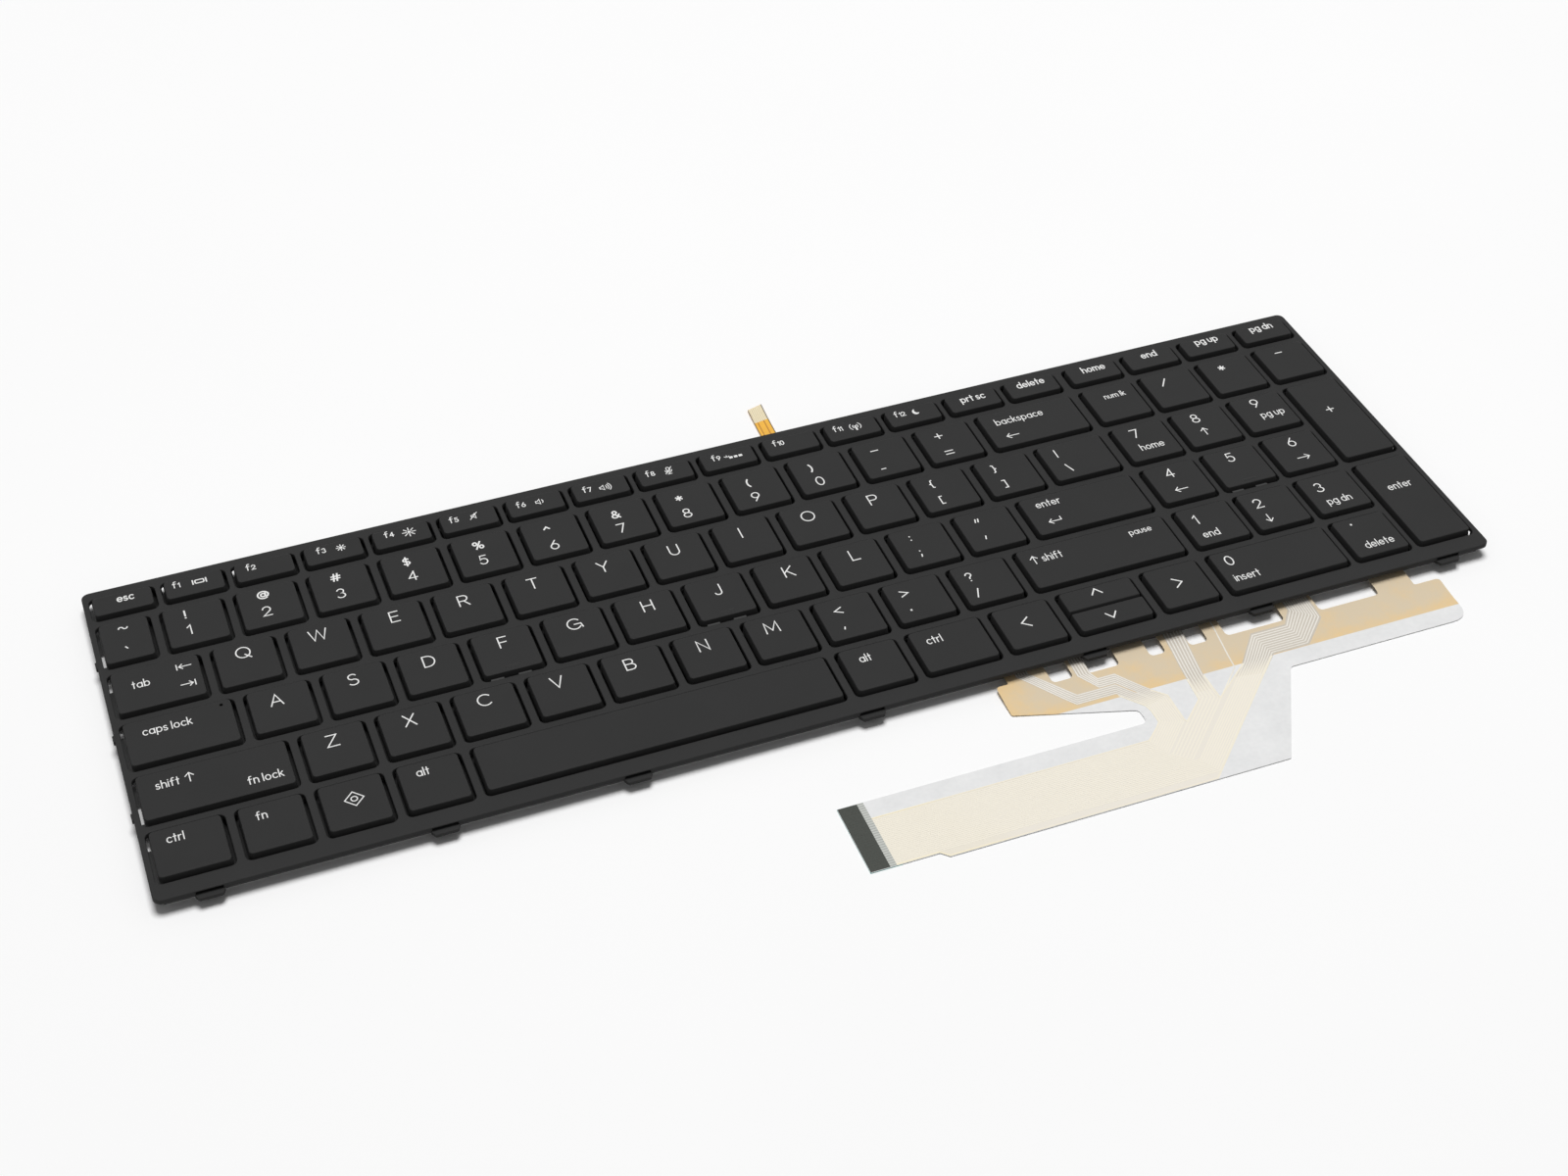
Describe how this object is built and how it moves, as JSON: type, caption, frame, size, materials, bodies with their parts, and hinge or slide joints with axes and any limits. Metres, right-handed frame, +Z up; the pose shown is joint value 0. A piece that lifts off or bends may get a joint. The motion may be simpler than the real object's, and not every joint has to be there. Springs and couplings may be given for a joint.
{
  "type": "laptop replacement keyboard",
  "caption": "Flat laptop keyboard with a number pad: a dark frame with island keys that press down, a film tail with a flat contact end at the front and a short flex cable at the back.",
  "frame": {"origin": "centre of the frame's plan, on the underside that the keyboard rests on", "axes": "+X to the right along the key rows, +Y towards the screen, +Z up out of the key tops"},
  "size_m": [0.3466, 0.1755, 0.0057],
  "materials": {
    "frame_plastic": "fine matte",
    "key_plastic": "matte, soft touch",
    "plate_metal": "plain sheet",
    "membrane_film": "milky film",
    "stiffener_film": "film",
    "flex_film": "amber film",
    "light_guide": "clear sheet",
    "mask_film": "black film",
    "reflector_film": "black backed film",
    "dome_rubber": "translucent silicone"
  },
  "bodies": {
    "frame_assembly": {"backlight_flex": "flex_film", "base_plate": "plate_metal", "bezel": "frame_plastic", "function_row_keys": "key_plastic", "light_guide": "light_guide", "light_mask": "mask_film", "membrane_circuit": "membrane_film", "modifier_keys": "key_plastic", "number_pad_keys": "key_plastic", "reflector_sheet": "reflector_film", "rubber_domes": "dome_rubber", "symbol_keys": "key_plastic", "tail_stiffener": "stiffener_film"},
    "key_0": {"key_0": "key_plastic"},
    "key_1": {"key_1": "key_plastic"},
    "key_2": {"key_2": "key_plastic"},
    "key_3": {"key_3": "key_plastic"},
    "key_4": {"key_4": "key_plastic"},
    "key_5": {"key_5": "key_plastic"},
    "key_6": {"key_6": "key_plastic"},
    "key_7": {"key_7": "key_plastic"},
    "key_8": {"key_8": "key_plastic"},
    "key_9": {"key_9": "key_plastic"},
    "key_a": {"key_a": "key_plastic"},
    "key_b": {"key_b": "key_plastic"},
    "key_backspace": {"key_backspace": "key_plastic"},
    "key_c": {"key_c": "key_plastic"},
    "key_caps_lock": {"key_caps_lock": "key_plastic"},
    "key_d": {"key_d": "key_plastic"},
    "key_down": {"key_down": "key_plastic"},
    "key_e": {"key_e": "key_plastic"},
    "key_enter": {"key_enter": "key_plastic"},
    "key_f": {"key_f": "key_plastic"},
    "key_g": {"key_g": "key_plastic"},
    "key_h": {"key_h": "key_plastic"},
    "key_i": {"key_i": "key_plastic"},
    "key_j": {"key_j": "key_plastic"},
    "key_k": {"key_k": "key_plastic"},
    "key_l": {"key_l": "key_plastic"},
    "key_left": {"key_left": "key_plastic"},
    "key_left_shift": {"key_left_shift": "key_plastic"},
    "key_m": {"key_m": "key_plastic"},
    "key_n": {"key_n": "key_plastic"},
    "key_o": {"key_o": "key_plastic"},
    "key_p": {"key_p": "key_plastic"},
    "key_q": {"key_q": "key_plastic"},
    "key_r": {"key_r": "key_plastic"},
    "key_right": {"key_right": "key_plastic"},
    "key_right_shift": {"key_right_shift": "key_plastic"},
    "key_s": {"key_s": "key_plastic"},
    "key_space": {"key_space": "key_plastic"},
    "key_t": {"key_t": "key_plastic"},
    "key_tab": {"key_tab": "key_plastic"},
    "key_u": {"key_u": "key_plastic"},
    "key_up": {"key_up": "key_plastic"},
    "key_v": {"key_v": "key_plastic"},
    "key_w": {"key_w": "key_plastic"},
    "key_x": {"key_x": "key_plastic"},
    "key_y": {"key_y": "key_plastic"},
    "key_z": {"key_z": "key_plastic"}
  },
  "joints": [
    {"name": "key_0_press", "type": "slide", "parent": "frame_assembly", "child": "key_0", "axis": [0, 0, -1], "range_m": [0, 0.0015], "stiffness_N_per_m": 350, "deforming": ["rubber_domes"]},
    {"name": "key_1_press", "type": "slide", "parent": "frame_assembly", "child": "key_1", "axis": [0, 0, -1], "range_m": [0, 0.0015], "stiffness_N_per_m": 350, "deforming": ["rubber_domes"]},
    {"name": "key_2_press", "type": "slide", "parent": "frame_assembly", "child": "key_2", "axis": [0, 0, -1], "range_m": [0, 0.0015], "stiffness_N_per_m": 350, "deforming": ["rubber_domes"]},
    {"name": "key_3_press", "type": "slide", "parent": "frame_assembly", "child": "key_3", "axis": [0, 0, -1], "range_m": [0, 0.0015], "stiffness_N_per_m": 350, "deforming": ["rubber_domes"]},
    {"name": "key_4_press", "type": "slide", "parent": "frame_assembly", "child": "key_4", "axis": [0, 0, -1], "range_m": [0, 0.0015], "stiffness_N_per_m": 350, "deforming": ["rubber_domes"]},
    {"name": "key_5_press", "type": "slide", "parent": "frame_assembly", "child": "key_5", "axis": [0, 0, -1], "range_m": [0, 0.0015], "stiffness_N_per_m": 350, "deforming": ["rubber_domes"]},
    {"name": "key_6_press", "type": "slide", "parent": "frame_assembly", "child": "key_6", "axis": [0, 0, -1], "range_m": [0, 0.0015], "stiffness_N_per_m": 350, "deforming": ["rubber_domes"]},
    {"name": "key_7_press", "type": "slide", "parent": "frame_assembly", "child": "key_7", "axis": [0, 0, -1], "range_m": [0, 0.0015], "stiffness_N_per_m": 350, "deforming": ["rubber_domes"]},
    {"name": "key_8_press", "type": "slide", "parent": "frame_assembly", "child": "key_8", "axis": [0, 0, -1], "range_m": [0, 0.0015], "stiffness_N_per_m": 350, "deforming": ["rubber_domes"]},
    {"name": "key_9_press", "type": "slide", "parent": "frame_assembly", "child": "key_9", "axis": [0, 0, -1], "range_m": [0, 0.0015], "stiffness_N_per_m": 350, "deforming": ["rubber_domes"]},
    {"name": "key_a_press", "type": "slide", "parent": "frame_assembly", "child": "key_a", "axis": [0, 0, -1], "range_m": [0, 0.0015], "stiffness_N_per_m": 350, "deforming": ["rubber_domes"]},
    {"name": "key_b_press", "type": "slide", "parent": "frame_assembly", "child": "key_b", "axis": [0, 0, -1], "range_m": [0, 0.0015], "stiffness_N_per_m": 350, "deforming": ["rubber_domes"]},
    {"name": "key_backspace_press", "type": "slide", "parent": "frame_assembly", "child": "key_backspace", "axis": [0, 0, -1], "range_m": [0, 0.0015], "stiffness_N_per_m": 350, "deforming": ["rubber_domes"]},
    {"name": "key_c_press", "type": "slide", "parent": "frame_assembly", "child": "key_c", "axis": [0, 0, -1], "range_m": [0, 0.0015], "stiffness_N_per_m": 350, "deforming": ["rubber_domes"]},
    {"name": "key_caps_lock_press", "type": "slide", "parent": "frame_assembly", "child": "key_caps_lock", "axis": [0, 0, -1], "range_m": [0, 0.0015], "stiffness_N_per_m": 350, "deforming": ["rubber_domes"]},
    {"name": "key_d_press", "type": "slide", "parent": "frame_assembly", "child": "key_d", "axis": [0, 0, -1], "range_m": [0, 0.0015], "stiffness_N_per_m": 350, "deforming": ["rubber_domes"]},
    {"name": "key_down_press", "type": "slide", "parent": "frame_assembly", "child": "key_down", "axis": [0, 0, -1], "range_m": [0, 0.0015], "stiffness_N_per_m": 350, "deforming": ["rubber_domes"]},
    {"name": "key_e_press", "type": "slide", "parent": "frame_assembly", "child": "key_e", "axis": [0, 0, -1], "range_m": [0, 0.0015], "stiffness_N_per_m": 350, "deforming": ["rubber_domes"]},
    {"name": "key_enter_press", "type": "slide", "parent": "frame_assembly", "child": "key_enter", "axis": [0, 0, -1], "range_m": [0, 0.0015], "stiffness_N_per_m": 350, "deforming": ["rubber_domes"]},
    {"name": "key_f_press", "type": "slide", "parent": "frame_assembly", "child": "key_f", "axis": [0, 0, -1], "range_m": [0, 0.0015], "stiffness_N_per_m": 350, "deforming": ["rubber_domes"]},
    {"name": "key_g_press", "type": "slide", "parent": "frame_assembly", "child": "key_g", "axis": [0, 0, -1], "range_m": [0, 0.0015], "stiffness_N_per_m": 350, "deforming": ["rubber_domes"]},
    {"name": "key_h_press", "type": "slide", "parent": "frame_assembly", "child": "key_h", "axis": [0, 0, -1], "range_m": [0, 0.0015], "stiffness_N_per_m": 350, "deforming": ["rubber_domes"]},
    {"name": "key_i_press", "type": "slide", "parent": "frame_assembly", "child": "key_i", "axis": [0, 0, -1], "range_m": [0, 0.0015], "stiffness_N_per_m": 350, "deforming": ["rubber_domes"]},
    {"name": "key_j_press", "type": "slide", "parent": "frame_assembly", "child": "key_j", "axis": [0, 0, -1], "range_m": [0, 0.0015], "stiffness_N_per_m": 350, "deforming": ["rubber_domes"]},
    {"name": "key_k_press", "type": "slide", "parent": "frame_assembly", "child": "key_k", "axis": [0, 0, -1], "range_m": [0, 0.0015], "stiffness_N_per_m": 350, "deforming": ["rubber_domes"]},
    {"name": "key_l_press", "type": "slide", "parent": "frame_assembly", "child": "key_l", "axis": [0, 0, -1], "range_m": [0, 0.0015], "stiffness_N_per_m": 350, "deforming": ["rubber_domes"]},
    {"name": "key_left_press", "type": "slide", "parent": "frame_assembly", "child": "key_left", "axis": [0, 0, -1], "range_m": [0, 0.0015], "stiffness_N_per_m": 350, "deforming": ["rubber_domes"]},
    {"name": "key_left_shift_press", "type": "slide", "parent": "frame_assembly", "child": "key_left_shift", "axis": [0, 0, -1], "range_m": [0, 0.0015], "stiffness_N_per_m": 350, "deforming": ["rubber_domes"]},
    {"name": "key_m_press", "type": "slide", "parent": "frame_assembly", "child": "key_m", "axis": [0, 0, -1], "range_m": [0, 0.0015], "stiffness_N_per_m": 350, "deforming": ["rubber_domes"]},
    {"name": "key_n_press", "type": "slide", "parent": "frame_assembly", "child": "key_n", "axis": [0, 0, -1], "range_m": [0, 0.0015], "stiffness_N_per_m": 350, "deforming": ["rubber_domes"]},
    {"name": "key_o_press", "type": "slide", "parent": "frame_assembly", "child": "key_o", "axis": [0, 0, -1], "range_m": [0, 0.0015], "stiffness_N_per_m": 350, "deforming": ["rubber_domes"]},
    {"name": "key_p_press", "type": "slide", "parent": "frame_assembly", "child": "key_p", "axis": [0, 0, -1], "range_m": [0, 0.0015], "stiffness_N_per_m": 350, "deforming": ["rubber_domes"]},
    {"name": "key_q_press", "type": "slide", "parent": "frame_assembly", "child": "key_q", "axis": [0, 0, -1], "range_m": [0, 0.0015], "stiffness_N_per_m": 350, "deforming": ["rubber_domes"]},
    {"name": "key_r_press", "type": "slide", "parent": "frame_assembly", "child": "key_r", "axis": [0, 0, -1], "range_m": [0, 0.0015], "stiffness_N_per_m": 350, "deforming": ["rubber_domes"]},
    {"name": "key_right_press", "type": "slide", "parent": "frame_assembly", "child": "key_right", "axis": [0, 0, -1], "range_m": [0, 0.0015], "stiffness_N_per_m": 350, "deforming": ["rubber_domes"]},
    {"name": "key_right_shift_press", "type": "slide", "parent": "frame_assembly", "child": "key_right_shift", "axis": [0, 0, -1], "range_m": [0, 0.0015], "stiffness_N_per_m": 350, "deforming": ["rubber_domes"]},
    {"name": "key_s_press", "type": "slide", "parent": "frame_assembly", "child": "key_s", "axis": [0, 0, -1], "range_m": [0, 0.0015], "stiffness_N_per_m": 350, "deforming": ["rubber_domes"]},
    {"name": "key_space_press", "type": "slide", "parent": "frame_assembly", "child": "key_space", "axis": [0, 0, -1], "range_m": [0, 0.0015], "stiffness_N_per_m": 350, "deforming": ["rubber_domes"]},
    {"name": "key_t_press", "type": "slide", "parent": "frame_assembly", "child": "key_t", "axis": [0, 0, -1], "range_m": [0, 0.0015], "stiffness_N_per_m": 350, "deforming": ["rubber_domes"]},
    {"name": "key_tab_press", "type": "slide", "parent": "frame_assembly", "child": "key_tab", "axis": [0, 0, -1], "range_m": [0, 0.0015], "stiffness_N_per_m": 350, "deforming": ["rubber_domes"]},
    {"name": "key_u_press", "type": "slide", "parent": "frame_assembly", "child": "key_u", "axis": [0, 0, -1], "range_m": [0, 0.0015], "stiffness_N_per_m": 350, "deforming": ["rubber_domes"]},
    {"name": "key_up_press", "type": "slide", "parent": "frame_assembly", "child": "key_up", "axis": [0, 0, -1], "range_m": [0, 0.0015], "stiffness_N_per_m": 350, "deforming": ["rubber_domes"]},
    {"name": "key_v_press", "type": "slide", "parent": "frame_assembly", "child": "key_v", "axis": [0, 0, -1], "range_m": [0, 0.0015], "stiffness_N_per_m": 350, "deforming": ["rubber_domes"]},
    {"name": "key_w_press", "type": "slide", "parent": "frame_assembly", "child": "key_w", "axis": [0, 0, -1], "range_m": [0, 0.0015], "stiffness_N_per_m": 350, "deforming": ["rubber_domes"]},
    {"name": "key_x_press", "type": "slide", "parent": "frame_assembly", "child": "key_x", "axis": [0, 0, -1], "range_m": [0, 0.0015], "stiffness_N_per_m": 350, "deforming": ["rubber_domes"]},
    {"name": "key_y_press", "type": "slide", "parent": "frame_assembly", "child": "key_y", "axis": [0, 0, -1], "range_m": [0, 0.0015], "stiffness_N_per_m": 350, "deforming": ["rubber_domes"]},
    {"name": "key_z_press", "type": "slide", "parent": "frame_assembly", "child": "key_z", "axis": [0, 0, -1], "range_m": [0, 0.0015], "stiffness_N_per_m": 350, "deforming": ["rubber_domes"]}
  ]
}
